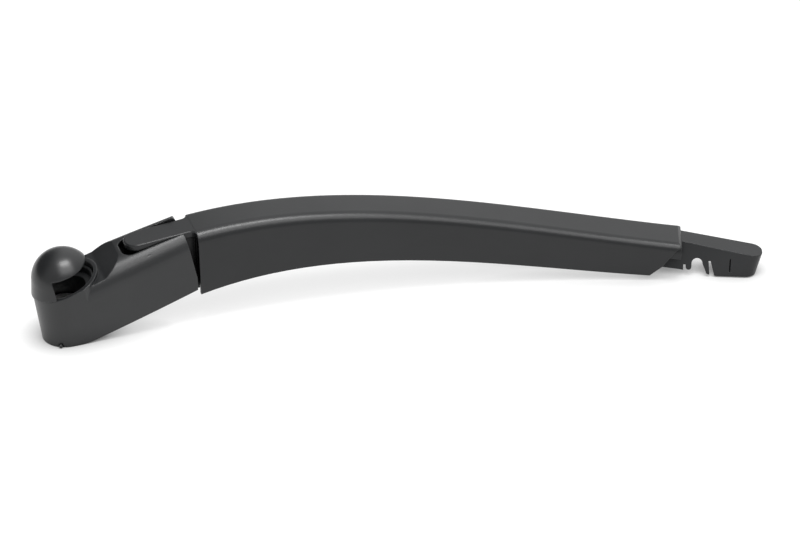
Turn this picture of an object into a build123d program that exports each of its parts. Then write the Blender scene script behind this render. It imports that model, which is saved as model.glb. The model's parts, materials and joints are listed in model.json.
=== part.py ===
from build123d import *
import os
from math import acos, atan2, cos, hypot, pi, radians, sin, tan

# Rear wiper arm, in millimetres. The origin is on the spindle axis in the base plane,
# +Z runs up the spindle, +X along the head towards the tip, and the hinge axis is along Y.

# Mounting head: round end over the spindle, then a fork of two cheeks
base_radius = 10.7
seam_radius = 13.3
seam_height = 24.0
head_blank_height = 48.0
fork_width = 21.2
fork_foot_x = 55.4
fork_foot_z = 16.0
fork_knee_z = 22.0
fork_end_lean = 10.9
fork_corner_round = 2.5
fork_end_margin = 1.0
base_flat_x = 6.0
foot_round = 25.0
shoulder_round_near = 9.4
shoulder_round_far = 5.0
saddle_x = 15.8
saddle_z = 30.0
crest_x = 23.4
crest_z = 36.2
crest_slope = 15.3
crest_break = 4.0
ridge_round = 4.0
base_nub_radius = 0.9
base_nub_turn = -118.0

# Collar around the nut opening, in a plane that rises towards the arm
collar_axis_z = 26.5
collar_slope = 19.0
collar_radius = 14.6
collar_drop = 1.8
collar_bore_radius = 12.1
collar_bore_shift = 0.9
collar_bore_depth = 5.0
nut_recess_radius = 9.2
nut_floor = 14.0

# Metal bush pressed into the head
bush_radius = 6.5
bush_foot = 0.0
bush_flange_radius = 8.2
bush_flange_thickness = 1.2
spindle_radius = 4.0
bush_chamfer = 0.4

# Cap over the spindle nut
dome_radius = 13.2
dome_centre_z = 28.2
dome_wall = 2.6
skirt_flare = 4.0
visor_axis_z = 34.4
visor_slope = 14.0
window_foot_x = -5.6
window_lean = 9.0
cap_ring_wall = 1.2
cap_ring_sunk = 2.0
cap_ring_round = 0.4
cap_ring_rise = 5.0
cap_fit = 0.08
seam_gap = 0.12

# Hinge between head and arm
hinge_x = 36.0
hinge_z = 34.5
hinge_pin_radius = 2.0
hinge_bush_radius = 3.2
pin_blind_wall = 1.6
pin_sunk = 0.4
running_fit = 0.05
press_fit = 0.01

# Arm channel, open underneath: arched in side view and swept towards -Y in plan
channel_x = 56.7
channel_length = 216.4
channel_sweep = 23.7
channel_width_start = 21.3
channel_width_end = 19.9
channel_wall = 1.6
top_start = 42.7
top_end = 17.5
top_rise = 5.1
top_fall = -5.2
foot_start = 13.4
foot_end = 1.9
foot_rise = 11.5
foot_fall = -1.0
near_round_start = 5.0
near_round_end = 3.6
far_round_start = 4.0
far_round_end = 2.6
end_cut_drop = 1.3
end_cut_shoulder_back = 2.7
end_cut_shoulder_drop = 2.7
end_cut_knee_back = 8.1
end_cut_knee_drop = 10.4
end_cut_back = 13.6
end_bevel = 1.3
stations = 9
rib_thickness = 1.2
rib_depth = 5.0
rib_first = 76.0
rib_pitch = 24.0
rib_count = 5

# Nose of the arm: tongue plate, ears and the bulkhead that carries them
nose_width = 12.0
tongue_end_x = 26.8
tongue_thickness = 2.6
tongue_round = 0.7
tongue_step = 0.04
root_step = 0.03
root_round = 3.0
ear_thickness = 1.4
ear_inset = 1.1
ear_radius = 4.4
bulkhead_thickness = 2.5
bulkhead_rise = 0.6
wing_recess = 8.0
web_thickness = 1.1
bulkhead_window_top = 34.0
side_gap = 0.4
pocket_gap = 0.35
pocket_corner = 4.6
cavity_front_wall = 3.0
cavity_roof_z = 24.5

# Pressure spring, its link to the head and its anchor in the arm
link_drop = 6.5
link_pin_radius = 1.8
link_thickness = 1.6
link_length = 24.0
link_head_radius = 4.0
link_half_height = 1.1
link_eye_radius = 2.5
link_eye_bore = 1.3
wire_radius = 0.9
coil_radius = 3.6
coil_pitch = 2.5
coil_turns = 16
hook_radius = 2.2
hook_reach = 2.0
loop_half_height = 3.4
anchor_pin_radius = 1.5
spring_travel = 5.4
loop_gap = 0.4
lug_thickness = 2.4
lug_length = 6.0
lug_below_pin = 3.6

# Blade adapter: shank inside the channel, tip outside with a snap notch for the blade's pin
adapter_reach = 37.3
adapter_end_rake = 3.9
adapter_far_start = 7.6
adapter_far_end = 5.8
adapter_near_foot = 6.0
adapter_near_back = 8.0
adapter_top_drop = 2.0
adapter_slope = 8.6
adapter_foot = 0.6
adapter_foot_x = 16.0
adapter_back = 16.0
adapter_wall = 2.2
adapter_roof = 2.4
adapter_end_round = 4.6
adapter_edge_round = 0.8
adapter_near_start = 1.4
adapter_near_end = 4.6
shank_length = 34.0
shank_height = 6.0
shank_gap = 0.15
blade_pin_radius = 2.4
blade_pin_reach = 7.3
blade_pin_z = 5.9
finger_trim = 0.3
rear_finger_x = 12.5
rear_finger_z = 1.1
rear_finger_round = 0.7
finger_lean_x = 3.5
finger_tip_x = 5.3
relief_slot_x = 1.3
relief_slot_width = 1.1
relief_slot_top = 5.2
spring_slot_x = 12.3
spring_slot_width = 0.9
spring_slot_mouth_x = 13.2
spring_slot_mouth = 2.4
spring_slot_top = 7.2
slit_reach = 21.5
slit_width = 0.5
slit_depth = 2.0
slit_top = 8.6
slit_foot = 2.6

# Screws that hold the shank up against bosses under the channel's top
screw_radius = 1.4
screw_head_radius = 3.0
screw_head_height = 1.8
screw_boss_radius = 2.8
screw_boss_gap = 0.1
screw_slot_width = 0.8
front_screw_back = 10.0
rear_screw_margin = 8.0

fork_half = fork_width / 2
ear_outer = nose_width / 2 - ear_inset
ear_inner = ear_outer - ear_thickness
pocket_half = nose_width / 2 + side_gap
sweep_radius = channel_length / radians(channel_sweep)
link_z = hinge_z - link_drop
anchor_x = hinge_x + link_length + hook_radius * 2 + hook_reach * 2 + coil_pitch * coil_turns
anchor_x += wire_radius + loop_gap + anchor_pin_radius
lug_inner = wire_radius + side_gap * 2
lug_outer = lug_inner + lug_thickness
screw_places = (front_screw_back, shank_length - rear_screw_margin)
far_reach = 400.0


def collar_z(x, sunk=0.0):
    return collar_axis_z + x * tan(radians(collar_slope)) - sunk


def crest(x):
    return crest_z + (x - crest_x) * tan(radians(crest_slope))


def side_prism(points, y_low=-far_reach, y_high=far_reach):
    face = make_face(Polyline(*points, close=True))
    return Pos(0, y_low, 0) * extrude(Plane.XZ * face, -(y_high - y_low))


def y_rod(x, z, radius, y_low, y_high):
    place = Plane(origin=(x, y_low, z), x_dir=(1, 0, 0), z_dir=(0, 1, 0))
    return place * Cylinder(radius, y_high - y_low, align=(Align.CENTER, Align.CENTER, Align.MIN))


def z_rod(x, y, radius, z_low, z_high):
    return Pos(x, y, z_low) * Cylinder(radius, z_high - z_low, align=(Align.CENTER, Align.CENTER, Align.MIN))


def block(x_low, x_high, y_low, y_high, z_low, z_high):
    size = (x_high - x_low, y_high - y_low, z_high - z_low)
    return Pos(x_low, y_low, z_low) * Box(*size, align=(Align.MIN, Align.MIN, Align.MIN))


def below_slope(axis_z, slope, x_low=-far_reach, x_high=far_reach):
    rise = tan(radians(slope))
    return side_prism([
        (x_low, -far_reach),
        (x_high, -far_reach),
        (x_high, axis_z + x_high * rise),
        (x_low, axis_z + x_low * rise),
    ])


# Head

def pear_outline(radius, z):
    reach = fork_foot_x + fork_end_margin
    turn = atan2(fork_half, reach) + acos(radius / hypot(reach, fork_half))
    touch_x = radius * cos(turn)
    touch_y = radius * sin(turn)
    outline = [
        ThreePointArc((touch_x, touch_y), (-radius, 0), (touch_x, -touch_y)),
        Line((touch_x, -touch_y), (reach, -fork_half)),
        Line((reach, -fork_half), (reach, fork_half)),
        Line((reach, fork_half), (touch_x, touch_y)),
    ]
    return Pos(0, 0, z) * make_face(outline)


def make_blank():
    top_radius = base_radius + (seam_radius - base_radius) * head_blank_height / seam_height
    return loft([pear_outline(base_radius, 0), pear_outline(top_radius, head_blank_height)], ruled=True)


def make_head():
    blank = make_blank()
    fork_lean = tan(radians(fork_end_lean))
    crest_lean = tan(radians(crest_slope)) * fork_lean
    fork_top_x = (fork_foot_x + (fork_knee_z - crest(0)) * fork_lean) / (1 + crest_lean)
    rear_x = -2 * seam_radius
    profile = make_face(Polyline(
        (rear_x, crest(rear_x)),
        (fork_top_x, crest(fork_top_x)),
        (fork_foot_x, fork_knee_z),
        (fork_foot_x, fork_foot_z),
        (base_flat_x, 0),
        (rear_x, 0),
        close=True,
    ))
    body = blank & extrude(Plane.XZ * profile, far_reach, both=True)
    shoulders = [
        edge for edge in body.edges()
        if edge.center().Z > crest(0) and abs(edge.tangent_at(0.5).X) > 0.9
    ]
    near = split(fillet(shoulders, shoulder_round_near), Plane.XZ, keep=Keep.TOP)
    far = split(fillet(shoulders, shoulder_round_far), Plane.XZ, keep=Keep.BOTTOM)
    profile = fillet(profile.vertices().sort_by(Axis.Y)[-1], fork_corner_round)
    body = (near + far) & extrude(Plane.XZ * profile, far_reach, both=True)
    body = fillet(body.edges().filter_by(Axis.Y).sort_by(Axis.Z)[0], foot_round)
    neck_x = collar_radius - collar_drop
    rise = tan(radians(crest_slope + crest_break))
    ridge = FilletPolyline(
        (rear_x, collar_z(rear_x, collar_drop)),
        (neck_x, collar_z(neck_x, collar_drop)),
        (saddle_x, saddle_z),
        (crest_x, crest_z),
        (fork_foot_x, crest_z + (fork_foot_x - crest_x) * rise),
        radius=ridge_round,
    )
    above = Polyline(ridge @ 1, (fork_foot_x, far_reach), (rear_x, far_reach), ridge @ 0)
    body -= extrude(Plane.XZ * make_face(ridge.edges() + above.edges()), far_reach, both=True)
    collar = blank & z_rod(0, 0, collar_radius, seam_height / 2, head_blank_height)
    body += collar & below_slope(collar_axis_z, collar_slope)
    collar_bore = z_rod(collar_bore_shift, 0, collar_bore_radius, 0, far_reach)
    body -= collar_bore - below_slope(collar_axis_z - collar_bore_depth, collar_slope)
    body -= z_rod(0, 0, nut_recess_radius, nut_floor, far_reach)
    body -= z_rod(0, 0, bush_radius + press_fit, -1, far_reach)
    swing_radius = hypot(hinge_x - tongue_end_x, top_line(tongue_end_x - channel_x) - hinge_z) + pocket_gap
    pocket_plan = Pos(hinge_x, 0, 0) * RectangleRounded(2 * swing_radius, 2 * pocket_half, pocket_corner)
    pocket = y_rod(hinge_x, hinge_z, swing_radius, -pocket_half, pocket_half)
    body -= pocket & extrude(pocket_plan, far_reach)
    body -= block(hinge_x, far_reach, -pocket_half, pocket_half, -1, far_reach)
    cavity_x = collar_bore_shift + collar_bore_radius + cavity_front_wall
    body -= block(cavity_x, far_reach, -pocket_half, pocket_half, -1, cavity_roof_z)
    blind_y = pin_blind_wall - fork_half
    body -= y_rod(hinge_x, hinge_z, hinge_pin_radius + press_fit, blind_y, far_reach)
    body -= y_rod(hinge_x, link_z, link_pin_radius + press_fit, blind_y, far_reach)
    turn = radians(base_nub_turn)
    reach = base_radius + base_nub_radius / 2
    return body + Pos(reach * cos(turn), reach * sin(turn), base_nub_radius) * Sphere(base_nub_radius)


def make_spindle_bush():
    bush = z_rod(0, 0, bush_radius, bush_foot, nut_floor)
    bush += z_rod(0, 0, bush_flange_radius, nut_floor, nut_floor + bush_flange_thickness)
    bush -= z_rod(0, 0, spindle_radius, 0, far_reach)
    return chamfer(bush.edges().filter_by(GeomType.CIRCLE).sort_by(Axis.Z)[-1], bush_chamfer)


def make_cap():
    centre = Pos(0, 0, dome_centre_z)
    inner_radius = dome_radius - dome_wall
    foot_radius = dome_radius + dome_centre_z * tan(radians(skirt_flare))
    skirt = Cone(foot_radius, dome_radius, dome_centre_z, align=(Align.CENTER, Align.CENTER, Align.MIN))
    shell = centre * Sphere(dome_radius) + skirt
    shell -= centre * Sphere(inner_radius) + z_rod(0, 0, inner_radius, -1, dome_centre_z)
    shell -= below_slope(collar_axis_z + seam_gap, collar_slope)
    window_foot_z = collar_z(window_foot_x)
    window_lean_x = tan(radians(window_lean)) * far_reach
    window = side_prism([
        (window_foot_x + window_lean_x, window_foot_z - far_reach),
        (window_foot_x - window_lean_x, window_foot_z + far_reach),
        (far_reach, window_foot_z + far_reach),
        (far_reach, window_foot_z - far_reach),
    ])
    shell -= window & below_slope(visor_axis_z, visor_slope)
    ring_radius = collar_bore_radius - cap_fit
    ring = z_rod(collar_bore_shift, 0, ring_radius, 0, far_reach)
    ring -= z_rod(collar_bore_shift, 0, ring_radius - cap_ring_wall, -1, far_reach)
    ring -= below_slope(collar_axis_z - collar_bore_depth + seam_gap, collar_slope)
    front = ring & below_slope(collar_axis_z - cap_ring_sunk, collar_slope)
    front = fillet(front.faces().sort_by(Axis.Z)[-1].edges(), cap_ring_round)
    rear = (ring - window) & below_slope(collar_axis_z + cap_ring_rise, collar_slope)
    return shell + front + rear


# Arm

def blend_line(s, start, end, rise, fall):
    rise_run = tan(radians(rise)) * channel_length
    fall_run = tan(radians(fall)) * channel_length
    share = s / channel_length
    if share < 0:
        return start + rise_run * share
    weight = share * share * (3 - 2 * share)
    bulge = share * (1 - share) * (rise_run * (1 - share) - fall_run * share)
    return start + (end - start) * weight + bulge


def top_line(s):
    return blend_line(s, top_start, top_end, top_rise, top_fall)


def foot_line(s):
    return blend_line(s, foot_start, foot_end, foot_rise, foot_fall)


def between(s, start, end):
    return start + (end - start) * s / channel_length


def half_width(s):
    return between(s, channel_width_start, channel_width_end) / 2


def station(s):
    turn = max(s, 0) / sweep_radius
    x = channel_x + sweep_radius * sin(turn) + min(s, 0)
    y = -sweep_radius * (1 - cos(turn))
    return Plane(origin=(x, y, 0), x_dir=(sin(turn), cos(turn), 0), z_dir=(cos(turn), -sin(turn), 0))


def section(s, half, top, foot, near, far):
    near_bend = near * (1 - cos(pi / 4))
    far_bend = far * (1 - cos(pi / 4))
    outline = [
        Line((-half, foot), (half, foot)),
        Line((half, foot), (half, top - far)),
        ThreePointArc((half, top - far), (half - far_bend, top - far_bend), (half - far, top)),
        Line((half - far, top), (near - half, top)),
        ThreePointArc((near - half, top), (near_bend - half, top - near_bend), (-half, top - near)),
        Line((-half, top - near), (-half, foot)),
    ]
    return station(s) * make_face(outline)


def skin(s_low, s_high, count, inset=0.0, foot_drop=0.0):
    faces = []
    for step in range(count):
        s = s_low + (s_high - s_low) * step / (count - 1)
        near = between(s, near_round_start, near_round_end) - inset
        far = between(s, far_round_start, far_round_end) - inset
        top = top_line(s) - inset
        faces.append(section(s, half_width(s) - inset, top, foot_line(s) - foot_drop, near, far))
    return loft(faces)


def end_place():
    return Location(Plane(origin=station(channel_length).origin, x_dir=station(channel_length).z_dir))


def make_nose():
    nose_half = nose_width / 2
    rise = radians(top_rise)
    root_x = channel_x + bulkhead_thickness
    flare = nose_half + root_round + side_gap
    tongue_length = channel_x - tongue_end_x
    plan = make_face(Polyline(
        (bulkhead_thickness, flare), (0, flare), (0, nose_half), (-tongue_length, nose_half),
        (-tongue_length, -nose_half), (0, -nose_half), (0, -flare), (bulkhead_thickness, -flare),
        close=True,
    ))
    plan = fillet([v for v in plan.vertices() if v.X < -root_round], nose_half - side_gap)
    corners = [v for v in plan.vertices() if abs(v.X) < side_gap and abs(v.Y) < flare - side_gap]
    plan = fillet(corners, root_round)
    along = (cos(rise), 0, sin(rise))
    slope = Plane(origin=(channel_x, 0, top_start - tongue_step), x_dir=along, z_dir=(-along[2], 0, along[0]))
    plate = extrude(plan, -tongue_thickness)
    rim = [edge for edge in plate.edges() if edge.center().Z > -0.01 and edge.center().X < -root_round]
    plate = slope * fillet(rim, tongue_round)
    plate &= skin(-tongue_length - 1, bulkhead_thickness, 2, root_step)
    plate -= block(channel_x, far_reach, -far_reach, far_reach, 0, far_reach)
    ear_side = [
        (hinge_x - ear_radius, hinge_z),
        (hinge_x - ear_radius, top_line(hinge_x - ear_radius - channel_x) - tongue_thickness / 2),
        (root_x, top_line(0) - tongue_thickness / 2),
        (root_x, foot_start + bulkhead_rise),
        (channel_x, foot_start + bulkhead_rise),
        (hinge_x + ear_radius, hinge_z - ear_radius),
        (hinge_x, hinge_z - ear_radius),
        (hinge_x, hinge_z),
    ]
    nose = plate
    for low, high in ((-ear_outer, -ear_inner), (ear_inner, ear_outer)):
        nose += side_prism(ear_side, low, high) + y_rod(hinge_x, hinge_z, ear_radius, low, high)
    return nose - y_rod(hinge_x, hinge_z, hinge_bush_radius + press_fit, -far_reach, far_reach)


def make_bulkhead():
    nose_half = nose_width / 2
    web_half = nose_half - web_thickness
    wall_half = half_width(0) - channel_wall / 2
    wing_x = channel_x + wing_recess
    sill_z = foot_start + bulkhead_rise
    roof_z = top_line(0) - channel_wall / 2
    front = block(channel_x, channel_x + bulkhead_thickness, -nose_half, nose_half, sill_z, roof_z)
    front -= block(0, far_reach, -ear_inner, ear_inner, 0, bulkhead_window_top)
    webs = block(channel_x, wing_x, -nose_half, nose_half, sill_z, roof_z)
    wings = block(wing_x, wing_x + bulkhead_thickness, -wall_half, wall_half, sill_z, roof_z + channel_wall)
    return front + (webs + wings - block(0, far_reach, -web_half, web_half, 0, far_reach))


def make_channel():
    outer = skin(0, channel_length, stations)
    hollow = skin(-1, channel_length + 1, stations, channel_wall, far_reach / 10)
    channel = outer - hollow
    end_cut = side_prism([
        (0, top_end - end_cut_drop),
        (-end_cut_shoulder_back, top_end - end_cut_shoulder_drop),
        (-end_cut_knee_back, top_end - end_cut_knee_drop),
        (-end_cut_back, foot_line(channel_length - end_cut_back)),
        (-end_cut_back, -far_reach),
        (far_reach, -far_reach),
        (far_reach, top_end - end_cut_drop),
    ])
    channel -= end_place() * end_cut
    channel -= end_place() * side_prism([
        (0, top_end - end_bevel),
        (-2 * end_bevel, top_end + end_bevel),
        (0, top_end + end_bevel),
    ])
    channel += make_bulkhead() & outer
    core = skin(0, channel_length, stations, channel_wall / 2)
    for step in range(rib_count):
        s = rib_first + step * rib_pitch
        rib = Box(2 * half_width(s), rib_depth, rib_thickness)
        channel += station(s) * Pos(0, top_line(s) - (channel_wall + rib_depth) / 2, 0) * rib & core
    lug_low_x = anchor_x - lug_length / 2
    lug_low_z = link_z - lug_below_pin
    lug_high_z = top_line(anchor_x - channel_x) - channel_wall / 2
    for low, high in ((-lug_outer, -lug_inner), (lug_inner, lug_outer)):
        channel += block(lug_low_x, lug_low_x + lug_length, low, high, lug_low_z, lug_high_z)
    channel -= y_rod(anchor_x, link_z, anchor_pin_radius + press_fit, -lug_outer, lug_outer)
    for back in screw_places:
        spot = station(channel_length - back).origin
        roof = top_line(channel_length - back) - channel_wall
        boss_foot = screw_seat(back) + screw_boss_gap
        boss = z_rod(spot.X, spot.Y, screw_boss_radius, boss_foot, roof + channel_wall / 2)
        channel += boss - z_rod(spot.X, spot.Y, screw_radius + press_fit, 0, roof - channel_wall / 2)
    return channel + make_nose()


def shank_foot(back):
    return top_line(channel_length - back) - channel_wall - shank_gap - shank_height


def screw_seat(back):
    return shank_foot(back) + screw_head_height / 2


def make_hinge_pin(z, radius):
    return y_rod(hinge_x, z, radius, pin_blind_wall - fork_half, fork_half - pin_sunk)


def make_hinge_bush(side):
    low, high = sorted((side * nose_width / 2, side * ear_inner))
    bush = y_rod(hinge_x, hinge_z, hinge_bush_radius, low, high)
    return bush - y_rod(hinge_x, hinge_z, hinge_pin_radius + running_fit, -far_reach, far_reach)


def make_link():
    eye_x = hinge_x + link_length
    half = link_thickness / 2
    link = y_rod(hinge_x, link_z, link_head_radius, -half, half)
    link += y_rod(eye_x, link_z, link_eye_radius, -half, half)
    link += block(hinge_x, eye_x, -half, half, link_z - link_half_height, link_z + link_half_height)
    link -= y_rod(hinge_x, link_z, link_pin_radius + running_fit, -far_reach, far_reach)
    return link - y_rod(eye_x, link_z, link_eye_bore, -far_reach, far_reach)


def x_rod(x_low, x_high, y, z, radius):
    place = Plane(origin=(x_low, y, z), x_dir=(0, 1, 0), z_dir=(1, 0, 0))
    return place * Cylinder(radius, x_high - x_low, align=(Align.CENTER, Align.CENTER, Align.MIN))


def make_spring():
    eye_x = hinge_x + link_length
    ring_x = eye_x + hook_radius
    coil_low = ring_x + hook_radius + hook_reach
    coil_high = coil_low + coil_pitch * coil_turns
    loop_low = coil_high + hook_reach
    loop_high = anchor_x + spring_travel + anchor_pin_radius + loop_gap + wire_radius
    coil_top = link_z + coil_radius
    path = Helix(coil_pitch, coil_pitch * coil_turns, coil_radius)
    path = Plane(origin=(coil_low, 0, link_z), x_dir=(0, 0, 1), z_dir=(1, 0, 0)) * path
    start = Plane(origin=path @ 0, z_dir=path % 0)
    spring = sweep(start * Circle(wire_radius), path=path)
    spring += Pos(ring_x, 0, link_z) * Torus(hook_radius, wire_radius)
    spring += x_rod(ring_x + hook_radius, coil_low, 0, link_z, wire_radius)
    spring += x_rod(coil_high, loop_low, 0, link_z, wire_radius)
    for x in (coil_low, coil_high):
        spring += z_rod(x, 0, wire_radius, link_z, coil_top) + Pos(x, 0, link_z) * Sphere(wire_radius)
    bend = loop_half_height
    left = loop_low + bend
    right = loop_high - bend
    top = link_z + bend
    foot = link_z - bend
    rail = Wire([
        Line((left, top), (right, top)),
        ThreePointArc((right, top), (loop_high, link_z), (right, foot)),
        Line((right, foot), (left, foot)),
        ThreePointArc((left, foot), (loop_low, link_z), (left, top)),
    ])
    rail = Plane.XZ * rail
    loop = sweep(Plane(origin=rail @ 0, z_dir=rail % 0) * Circle(wire_radius), path=rail)
    return spring + loop


def make_anchor_pin():
    return y_rod(anchor_x, link_z, anchor_pin_radius, -lug_outer, lug_outer)


# Blade adapter, drawn in the frame of the channel's end: x outwards, y across, z up

def adapter_top(x):
    return top_end - adapter_top_drop - max(x, 0) * tan(radians(adapter_slope))


def adapter_plan(z, near_back, near_start, near_end, reach, inset):
    outline = [
        (-adapter_back, inset - near_back),
        (0, inset - near_start),
        (reach - inset, inset - near_end),
        (reach - inset, adapter_far_end - inset),
        (0, adapter_far_start - inset),
        (-adapter_back, adapter_far_start - inset),
    ]
    return Pos(0, 0, z) * make_face(Polyline(*outline, close=True))


def adapter_form(inset=0.0):
    near_foot = (adapter_near_back, adapter_near_foot, adapter_near_foot)
    near_top = (adapter_near_start, adapter_near_start, adapter_near_end)
    foot = adapter_plan(0, *near_foot, adapter_reach - adapter_end_rake, inset)
    head = adapter_plan(adapter_top(0), *near_top, adapter_reach, inset)
    return loft([foot, head], ruled=True)


def round_tip(x, z, radius):
    corner = block(x - radius, x + radius, -far_reach, far_reach, z - far_reach, z + radius)
    return corner - y_rod(x, z + radius, radius, -far_reach, far_reach)


def make_adapter():
    form = adapter_form()
    ends = [
        edge for edge in form.edges()
        if edge.center().X > adapter_foot_x and abs(edge.tangent_at(0.5).Z) > 0.7
    ]
    form = fillet(ends, adapter_end_round)
    heel = adapter_foot + (adapter_foot_x + adapter_back) * tan(radians(adapter_slope))
    side = make_face(FilletPolyline(
        (-adapter_back, heel),
        (adapter_foot_x, adapter_foot),
        (adapter_reach, adapter_foot),
        (adapter_reach, adapter_top(adapter_reach)),
        (0, adapter_top(0)),
        (-adapter_back, adapter_top(0)),
        radius=adapter_edge_round,
        close=True,
    ))
    tip = form & extrude(Plane.XZ * side, far_reach, both=True)
    roof = side_prism([
        (-far_reach, -far_reach),
        (adapter_reach, -far_reach),
        (adapter_reach, adapter_top(adapter_reach) - adapter_roof),
        (0, adapter_top(0) - adapter_roof),
        (-far_reach, adapter_top(0) - adapter_roof),
    ])
    hollow = adapter_form(adapter_wall)
    tip -= hollow & roof
    tip -= y_rod(blade_pin_reach, blade_pin_z, blade_pin_radius, -far_reach, far_reach)
    tip -= side_prism([
        (blade_pin_reach - blade_pin_radius, blade_pin_z),
        (blade_pin_reach + blade_pin_radius, blade_pin_z),
        (blade_pin_reach + finger_lean_x, blade_pin_z - blade_pin_radius),
        (blade_pin_reach + finger_tip_x, -1),
        (blade_pin_reach - blade_pin_radius, -1),
    ])
    front_finger_x = relief_slot_x + relief_slot_width
    notch_x = blade_pin_reach - blade_pin_radius
    front_tip_z = adapter_foot + (adapter_foot_x - front_finger_x) * tan(radians(adapter_slope)) + finger_trim
    tip -= block(relief_slot_x, front_finger_x, -far_reach, far_reach, -1, relief_slot_top)
    tip -= round_tip((front_finger_x + notch_x) / 2, front_tip_z, (notch_x - front_finger_x) / 2)
    tip -= side_prism([
        (spring_slot_x, spring_slot_top),
        (spring_slot_x + spring_slot_width, spring_slot_top),
        (spring_slot_mouth_x + spring_slot_mouth, -1),
        (spring_slot_mouth_x, -1),
    ])
    tip -= round_tip(rear_finger_x, rear_finger_z, rear_finger_round)
    slit_y = slit_depth - adapter_near_foot
    tip -= block(slit_reach, slit_reach + slit_width, -far_reach, slit_y, slit_foot, slit_top)
    shank = []
    for back in (shank_length, shank_length / 2, 0):
        s = channel_length - back
        half = half_width(s) - channel_wall - shank_gap
        top = top_line(s) - channel_wall - shank_gap
        shank.append(section(s, half, top, top - shank_height, near_round_end, far_round_end))
    adapter = end_place() * tip + loft(shank)
    for back in screw_places:
        spot = station(channel_length - back).origin
        adapter -= z_rod(spot.X, spot.Y, screw_boss_radius + screw_boss_gap, screw_seat(back), far_reach)
        adapter -= z_rod(spot.X, spot.Y, screw_head_radius + screw_boss_gap, 0, screw_seat(back))
    return adapter


def make_screw(back):
    spot = station(channel_length - back).origin
    seat = screw_seat(back)
    top = top_line(channel_length - back) - channel_wall * 2
    screw = z_rod(spot.X, spot.Y, screw_radius, seat, top)
    screw += z_rod(spot.X, spot.Y, screw_head_radius, seat - screw_head_height, seat)
    slot = Box(3 * screw_head_radius, screw_slot_width, screw_head_height)
    return screw - Pos(spot.X, spot.Y, seat - screw_head_height) * slot


parts = {
    "mounting_head": make_head(),
    "spindle_bush": make_spindle_bush(),
    "nut_cap": make_cap(),
    "hinge_pin": make_hinge_pin(hinge_z, hinge_pin_radius),
    "link_pin": make_hinge_pin(link_z, link_pin_radius),
    "arm_channel": make_channel(),
    "hinge_bush_near": make_hinge_bush(-1),
    "hinge_bush_far": make_hinge_bush(1),
    "spring_anchor_pin": make_anchor_pin(),
    "blade_adapter": make_adapter(),
    "adapter_screw_front": make_screw(screw_places[0]),
    "adapter_screw_rear": make_screw(screw_places[1]),
    "spring_link": make_link(),
    "pressure_spring": make_spring(),
}

os.makedirs("parts", exist_ok=True)
for name, solid in parts.items():
    export_step(solid, f"parts/{name}.step")
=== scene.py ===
import json
from math import cos, radians, sin

import bpy
from mathutils import Matrix, Vector

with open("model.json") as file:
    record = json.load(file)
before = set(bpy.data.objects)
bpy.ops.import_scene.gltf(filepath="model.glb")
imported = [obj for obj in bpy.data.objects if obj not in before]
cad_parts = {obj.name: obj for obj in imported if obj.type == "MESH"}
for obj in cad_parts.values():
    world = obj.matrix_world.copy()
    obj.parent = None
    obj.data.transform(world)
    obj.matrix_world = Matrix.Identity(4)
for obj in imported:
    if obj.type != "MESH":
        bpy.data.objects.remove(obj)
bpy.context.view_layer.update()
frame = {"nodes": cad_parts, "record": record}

cadNodes = frame["nodes"]
print("wiper arm: frame loaded,", len(cadNodes), "solids")


# helpers for node trees

nodeStep = 220  # nodes stand side by side in the editor
opaque = (1.0,)


def clearTree(owner):
    owner.use_nodes = True
    tree = owner.node_tree
    tree.nodes.clear()
    return tree


# a key is a socket's name or number, or else a property of the node
def addNode(tree, kind, settings=None):
    made = tree.nodes.new(kind)
    made.location.x = nodeStep * len(tree.nodes)
    for key, value in (settings or {}).items():
        if isinstance(key, int) or key in made.inputs:
            made.inputs[key].default_value = value
        else:
            setattr(made, key, value)
    return made


# each join reads: from node, output, to node, input
def joinNodes(tree, joins):
    for source, output, target, entry in joins:
        tree.links.new(source.outputs[output], target.inputs[entry])


def addTone(tree, finish):
    tone = addNode(tree, "ShaderNodeValToRGB")
    first, last = tone.color_ramp.elements
    first.position, first.color = finish["toneFrom"], finish["deep"] + opaque
    last.position, last.color = finish["toneTo"], finish["pale"] + opaque
    return tone


# satin black moulding: spark-eroded grain, cloudy tone, rounded edges painted a little paler as a painted
# highlight, recesses painted darker as painted shade

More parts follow.
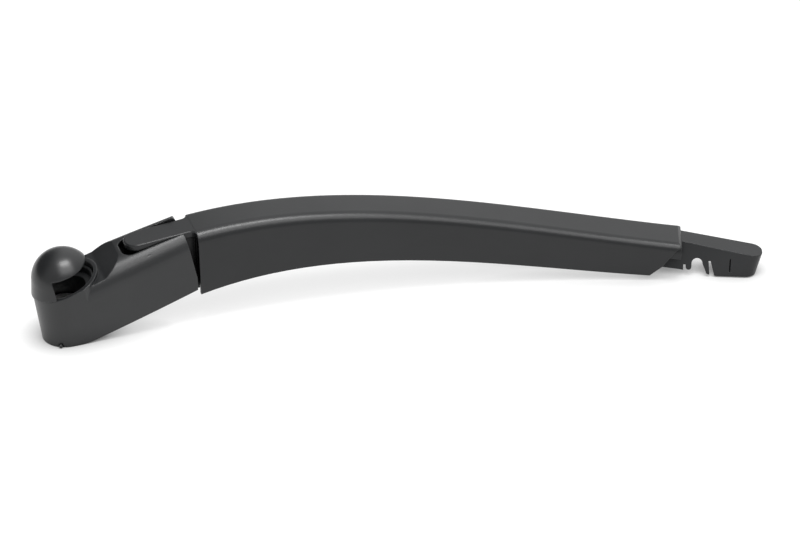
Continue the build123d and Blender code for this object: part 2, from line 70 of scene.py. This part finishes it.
def mouldedPlastic(name, finish):
    look = bpy.data.materials.new(name)
    tree = clearTree(look)
    coords = addNode(tree, "ShaderNodeTexCoord")
    cloud = addNode(tree, "ShaderNodeTexNoise", {
        "Scale": finish["cloudScale"], "Detail": finish["cloudDetail"], "Roughness": finish["cloudRough"],
    })
    tone = addTone(tree, finish)
    grain = addNode(tree, "ShaderNodeTexNoise", {
        "Scale": finish["grainScale"], "Detail": finish["grainDetail"], "Roughness": finish["grainRough"],
    })
    pores = addNode(tree, "ShaderNodeTexVoronoi", {"Scale": finish["grainScale"] * finish["poreScale"]})
    skin = addNode(tree, "ShaderNodeMath", {"operation": "MULTIPLY_ADD", 1: finish["poreShare"]})
    gloss = addNode(tree, "ShaderNodeMapRange", {"To Min": finish["roughLow"], "To Max": finish["roughHigh"]})
    soft = addNode(tree, "ShaderNodeBevel", {"samples": finish["edgeSamples"], "Radius": finish["edgeRound"]})
    surface = addNode(tree, "ShaderNodeNewGeometry")
    facing = addNode(tree, "ShaderNodeVectorMath", {"operation": "DOT_PRODUCT"})
    # painted highlight: rounded edges are mixed towards the paler edge colour, standing in for the highlight
    # a rounded edge catches
    paintedEdgeHighlightShare = addNode(tree, "ShaderNodeMapRange", {
        "From Min": finish["edgeHighlightFrom"], "From Max": finish["edgeHighlightFull"], "To Max": finish["edgeHighlightMax"],
    })
    paintedEdgeHighlightMix = addNode(tree, "ShaderNodeMix", {"data_type": "RGBA", "B": finish["edge"] + opaque})
    bump = addNode(tree, "ShaderNodeBump", {
        "Strength": finish["grainStrength"], "Distance": finish["grainDepth"],
    })
    # painted shade: ambient occlusion darkens the colour and the shine in recesses, creases and gaps between
    # parts
    recess = addNode(tree, "ShaderNodeAmbientOcclusion", {
        "samples": finish["recessSamples"], "Distance": finish["recessReach"],
    })
    recessShade = addNode(tree, "ShaderNodeMapRange", {
        "From Min": finish["recessFrom"], "From Max": finish["recessFull"], "To Min": finish["recessShadeTone"],
    })
    recessShadedShine = addNode(tree, "ShaderNodeMath", {"operation": "MULTIPLY", 1: finish["shine"]})
    shade = addNode(tree, "ShaderNodeMix", {"data_type": "RGBA", "blend_type": "MULTIPLY", "Factor": 1.0})
    body = addNode(tree, "ShaderNodeBsdfPrincipled", {
        "Specular IOR Level": finish["shine"],  # plain level, where the recess link is not read
    })
    out = addNode(tree, "ShaderNodeOutputMaterial")
    joinNodes(tree, [
        (coords, "Object", cloud, "Vector"),
        (coords, "Object", grain, "Vector"),
        (coords, "Object", pores, "Vector"),
        (cloud, "Fac", tone, "Fac"),
        (grain, "Fac", gloss, "Value"),
        (pores, "Distance", skin, 0),
        (grain, "Fac", skin, 2),
        (skin, "Value", bump, "Height"),
        (soft, "Normal", bump, "Normal"),
        (soft, "Normal", facing, 0),
        (surface, "Normal", facing, 1),
        (facing, "Value", paintedEdgeHighlightShare, "Value"),
        (paintedEdgeHighlightShare, "Result", paintedEdgeHighlightMix, "Factor"),
        (tone, "Color", paintedEdgeHighlightMix, "A"),
        (recess, "AO", recessShade, "Value"),
        (recessShade, "Result", recessShadedShine, 0),
        (paintedEdgeHighlightMix, "Result", shade, "A"),
        (recessShade, "Result", shade, "B"),
        (shade, "Result", body, "Base Color"),
        (recessShadedShine, "Value", body, "Specular IOR Level"),
        (gloss, "Result", body, "Roughness"),
        (bump, "Normal", body, "Normal"),
        (body, "BSDF", out, "Surface"),
    ])
    return look


# plated or drawn steel: fine lines along one direction, faint stains

def workedSteel(name, finish):
    look = bpy.data.materials.new(name)
    tree = clearTree(look)
    coords = addNode(tree, "ShaderNodeTexCoord")
    stretch = addNode(tree, "ShaderNodeMapping", {"Scale": finish["lines"]})
    lines = addNode(tree, "ShaderNodeTexNoise", {
        "Scale": finish["lineScale"], "Detail": finish["lineDetail"],
    })
    stain = addNode(tree, "ShaderNodeTexNoise", {
        "Scale": finish["stainScale"], "Detail": finish["stainDetail"],
    })
    tone = addTone(tree, finish)
    gloss = addNode(tree, "ShaderNodeMapRange", {"To Min": finish["roughLow"], "To Max": finish["roughHigh"]})
    bump = addNode(tree, "ShaderNodeBump", {
        "Strength": finish["lineStrength"], "Distance": finish["lineDepth"],
    })
    body = addNode(tree, "ShaderNodeBsdfPrincipled", {"Metallic": 1.0})
    out = addNode(tree, "ShaderNodeOutputMaterial")
    joinNodes(tree, [
        (coords, "Object", stretch, "Vector"),
        (stretch, "Vector", lines, "Vector"),
        (coords, "Object", stain, "Vector"),
        (stain, "Fac", tone, "Fac"),
        (tone, "Color", body, "Base Color"),
        (lines, "Fac", gloss, "Value"),
        (gloss, "Result", body, "Roughness"),
        (lines, "Fac", bump, "Height"),
        (bump, "Normal", body, "Normal"),
        (body, "BSDF", out, "Surface"),
    ])
    return look


# lengths in metres, colours linear; the other mouldings differ from the head in a few values

headFinish = {
    "deep": (0.0105, 0.0112, 0.012), "pale": (0.0155, 0.0164, 0.0175), "toneFrom": 0.32, "toneTo": 0.7,
    "cloudScale": 38.0, "cloudDetail": 4.0, "cloudRough": 0.6,
    "grainScale": 1500.0, "grainDetail": 2.5, "grainRough": 0.55, "grainDepth": 0.00004, "grainStrength": 0.3,
    "poreScale": 0.6, "poreShare": 0.45,  # pores against the grain
    "roughLow": 0.27, "roughHigh": 0.39, "shine": 0.52,
    # edge is the colour of the painted edge highlight
    "edge": (0.03, 0.0315, 0.033), "edgeRound": 0.0008, "edgeSamples": 6,
    "edgeHighlightMax": 0.5, "edgeHighlightFrom": 1.0, "edgeHighlightFull": 0.8,  # by how far the rounded edge leans from the flat face
    # painted shade in recesses and gaps: how far it reaches, its samples, and how dark it goes
    "recessReach": 0.014, "recessSamples": 8, "recessFrom": 0.2, "recessFull": 0.52, "recessShadeTone": 0.04,
}
capFinish = dict(
    headFinish, deep=(0.0095, 0.0101, 0.0108), pale=(0.0135, 0.0143, 0.0152),
    grainScale=2100.0, grainStrength=0.2, roughLow=0.26, roughHigh=0.34,
)
armFinish = dict(
    headFinish, deep=(0.0085, 0.009, 0.0098), pale=(0.013, 0.0138, 0.0147),
    cloudScale=24.0, roughLow=0.26, roughHigh=0.36, shine=0.41,
)
tipFinish = dict(
    headFinish, deep=(0.011, 0.0117, 0.0125), cloudScale=55.0, roughLow=0.32, roughHigh=0.44, shine=0.38,
)
nylonFinish = dict(
    headFinish, deep=(0.6, 0.59, 0.54), pale=(0.7, 0.69, 0.64), edge=(0.75, 0.74, 0.7),
    roughLow=0.3, roughHigh=0.42, grainStrength=0.1,
)
zincFinish = {
    "deep": (0.42, 0.42, 0.41), "pale": (0.56, 0.56, 0.55), "toneFrom": 0.35, "toneTo": 0.65,
    "lines": (1.0, 1.0, 12.0), "lineScale": 900.0, "lineDetail": 3.0,
    "lineDepth": 0.00003, "lineStrength": 0.2,
    "stainScale": 120.0, "stainDetail": 4.0, "roughLow": 0.28, "roughHigh": 0.42,
}
wireFinish = dict(
    zincFinish, deep=(0.24, 0.24, 0.25), pale=(0.36, 0.36, 0.37),
    lines=(14.0, 14.0, 14.0), roughLow=0.24, roughHigh=0.38,
)

looks = {
    "head_plastic": mouldedPlastic("satinHeadBlack", headFinish),
    "cap_plastic": mouldedPlastic("smoothCapBlack", capFinish),
    "arm_plastic": mouldedPlastic("satinArmBlack", armFinish),
    "adapter_plastic": mouldedPlastic("satinTipBlack", tipFinish),
    "bush_plastic": mouldedPlastic("naturalNylon", nylonFinish),
    "steel": workedSteel("zincPlate", zincFinish),
    "spring_steel": workedSteel("drawnWire", wireFinish),
}
print("wiper arm: finishes made")

slotOf = {entry["node"]: entry["material_slot"] for entry in frame["record"]["subparts"]}
for name, solid in cadNodes.items():
    solid.data.materials.clear()
    solid.data.materials.append(looks[slotOf[name]])
print("wiper arm: solids dressed")


# camera at the photo's angle: place in metres, angles in degrees, lens and sensor in millimetres

viewpoint = {
    "place": (-0.16719, -0.85033, 0.5601), "down": 31.63, "turn": 20.52,
    "lens": 108.0, "sensor": 36.0,
}


def makeCamera():
    down, turn = radians(viewpoint["down"]), radians(viewpoint["turn"])
    right = Vector((cos(turn), -sin(turn), 0.0))
    ahead = Vector((sin(turn) * cos(down), cos(turn) * cos(down), -sin(down)))
    over = right.cross(ahead)
    data = bpy.data.cameras.new("viewCamera")
    data.lens = viewpoint["lens"]
    data.sensor_width = viewpoint["sensor"]
    eye = bpy.data.objects.new("viewCamera", data)
    facing = Matrix((right, over, -ahead)).transposed()
    eye.matrix_world = Matrix.Translation(viewpoint["place"]) @ facing.to_4x4()
    bpy.context.scene.collection.objects.link(eye)
    bpy.context.scene.camera = eye


# pale table top: takes the shadow, reads as white to the eye with a painted contact shadow close to the part,
# and is clear from below

table = {
    "half": 4.0, "middle": (0.1, 0.0, -0.0001),  # just under the foot of the head
    "paint": (0.27, 0.27, 0.27), "white": 0.74,
    "contactReach": 0.012, "contactSamples": 12,  # shade close to where the part touches
}


def paleTable():
    look = bpy.data.materials.new("paleTable")
    tree = clearTree(look)
    paint = addNode(tree, "ShaderNodeBsdfDiffuse", {"Color": table["paint"] + opaque})
    path = addNode(tree, "ShaderNodeLightPath")
    seen = addNode(tree, "ShaderNodeMath", {"operation": "MAXIMUM"})
    seenToo = addNode(tree, "ShaderNodeMath", {"operation": "MAXIMUM"})
    # painted shadow: the table's white glow is dimmed by ambient occlusion close to the part
    contactShadowOcclusion = addNode(tree, "ShaderNodeAmbientOcclusion", {
        "samples": table["contactSamples"], "Distance": table["contactReach"],
    })
    glowWithContactShadow = addNode(tree, "ShaderNodeMath", {"operation": "MULTIPLY"})
    lift = addNode(tree, "ShaderNodeMath", {"operation": "MULTIPLY", 1: table["white"]})
    glow = addNode(tree, "ShaderNodeEmission")
    both = addNode(tree, "ShaderNodeAddShader")
    side = addNode(tree, "ShaderNodeNewGeometry")
    clear = addNode(tree, "ShaderNodeBsdfTransparent")
    fromBelow = addNode(tree, "ShaderNodeMixShader")
    out = addNode(tree, "ShaderNodeOutputMaterial")
    joinNodes(tree, [
        (path, "Is Camera Ray", seen, 0),
        (path, "Is Glossy Ray", seen, 1),
        (seen, "Value", seenToo, 0),
        (path, "Is Transmission Ray", seenToo, 1),
        (seenToo, "Value", glowWithContactShadow, 0),
        (contactShadowOcclusion, "AO", glowWithContactShadow, 1),
        (glowWithContactShadow, "Value", lift, 0),
        (lift, "Value", glow, "Strength"),
        (paint, "BSDF", both, 0),
        (glow, "Emission", both, 1),
        (side, "Backfacing", fromBelow, "Fac"),
        (both, "Shader", fromBelow, 1),
        (clear, "BSDF", fromBelow, 2),
        (fromBelow, "Shader", out, "Surface"),
    ])
    return look


def makeTable():
    half = table["half"]
    corners = [(-half, -half, 0), (half, -half, 0), (half, half, 0), (-half, half, 0)]
    mesh = bpy.data.meshes.new("tableTop")
    mesh.from_pydata(corners, [], [(0, 1, 2, 3)])
    mesh.materials.append(paleTable())
    top = bpy.data.objects.new("tableTop", mesh)
    top.location = table["middle"]
    bpy.context.scene.collection.objects.link(top)


# a small overhead softbox and a wide canopy in front of it

lamps = [
    {"name": "overheadSoftbox", "place": (0.135, -0.15, 1.03), "size": (0.57, 0.3), "power": 7.4},
    {"name": "frontCanopy", "place": (0.2, -0.6, 0.95), "size": (1.0, 0.6), "power": 5.4},
]
lampAim = (0.12, -0.02, 0.02)


def makeLamps():
    for lamp in lamps:
        data = bpy.data.lights.new(lamp["name"], "AREA")
        data.shape = "RECTANGLE"
        data.size, data.size_y = lamp["size"]
        data.energy = lamp["power"]
        made = bpy.data.objects.new(lamp["name"], data)
        made.location = lamp["place"]
        made.rotation_mode = "QUATERNION"
        made.rotation_quaternion = (Vector(lampAim) - Vector(lamp["place"])).to_track_quat("-Z", "Y")
        bpy.context.scene.collection.objects.link(made)


# a room that is pale to the back right and dark in one corner, and white to the eye

room = {
    "plain": 0.6, "pale": 1.2, "dark": 0.08, "toEye": 1.0, "tint": (1.0, 1.0, 1.0),
    "paleWay": (0.406, 0.406, 0.819), "paleFrom": 0.6, "paleFull": 1.0,  # towards the window side
    "darkWay": (-0.629, 0.698, 0.342), "darkFrom": 0.55, "darkFull": 0.95,  # towards the back left corner
}


def roomSide(tree, coords, way):
    side = addNode(tree, "ShaderNodeVectorMath", {"operation": "DOT_PRODUCT", 1: room[way + "Way"]})
    share = addNode(tree, "ShaderNodeMapRange", {
        "interpolation_type": "SMOOTHSTEP", "From Min": room[way + "From"], "From Max": room[way + "Full"],
    })
    level = addNode(tree, "ShaderNodeMix", {"A": room["plain"], "B": room[way]})
    joinNodes(tree, [
        (coords, "Generated", side, 0),
        (side, "Value", share, "Value"),
        (share, "Result", level, "Factor"),
    ])
    return level


def makeRoom():
    world = bpy.data.worlds.new("paleRoom")
    tree = clearTree(world)
    coords = addNode(tree, "ShaderNodeTexCoord")
    pale = roomSide(tree, coords, "pale")
    dark = roomSide(tree, coords, "dark")
    path = addNode(tree, "ShaderNodeLightPath")
    shown = addNode(tree, "ShaderNodeMix", {"B": room["toEye"]})
    back = addNode(tree, "ShaderNodeBackground", {"Color": room["tint"] + opaque})
    out = addNode(tree, "ShaderNodeOutputWorld")
    joinNodes(tree, [
        (pale, "Result", dark, "A"),
        (dark, "Result", shown, "A"),
        (path, "Is Camera Ray", shown, "Factor"),
        (shown, "Result", back, "Strength"),
        (back, "Background", out, "Surface"),
    ])
    bpy.context.scene.world = world


makeCamera()
makeTable()
makeLamps()
makeRoom()
bpy.context.scene.view_settings.view_transform = "Standard"
print("wiper arm: camera, table, lamps and room set")
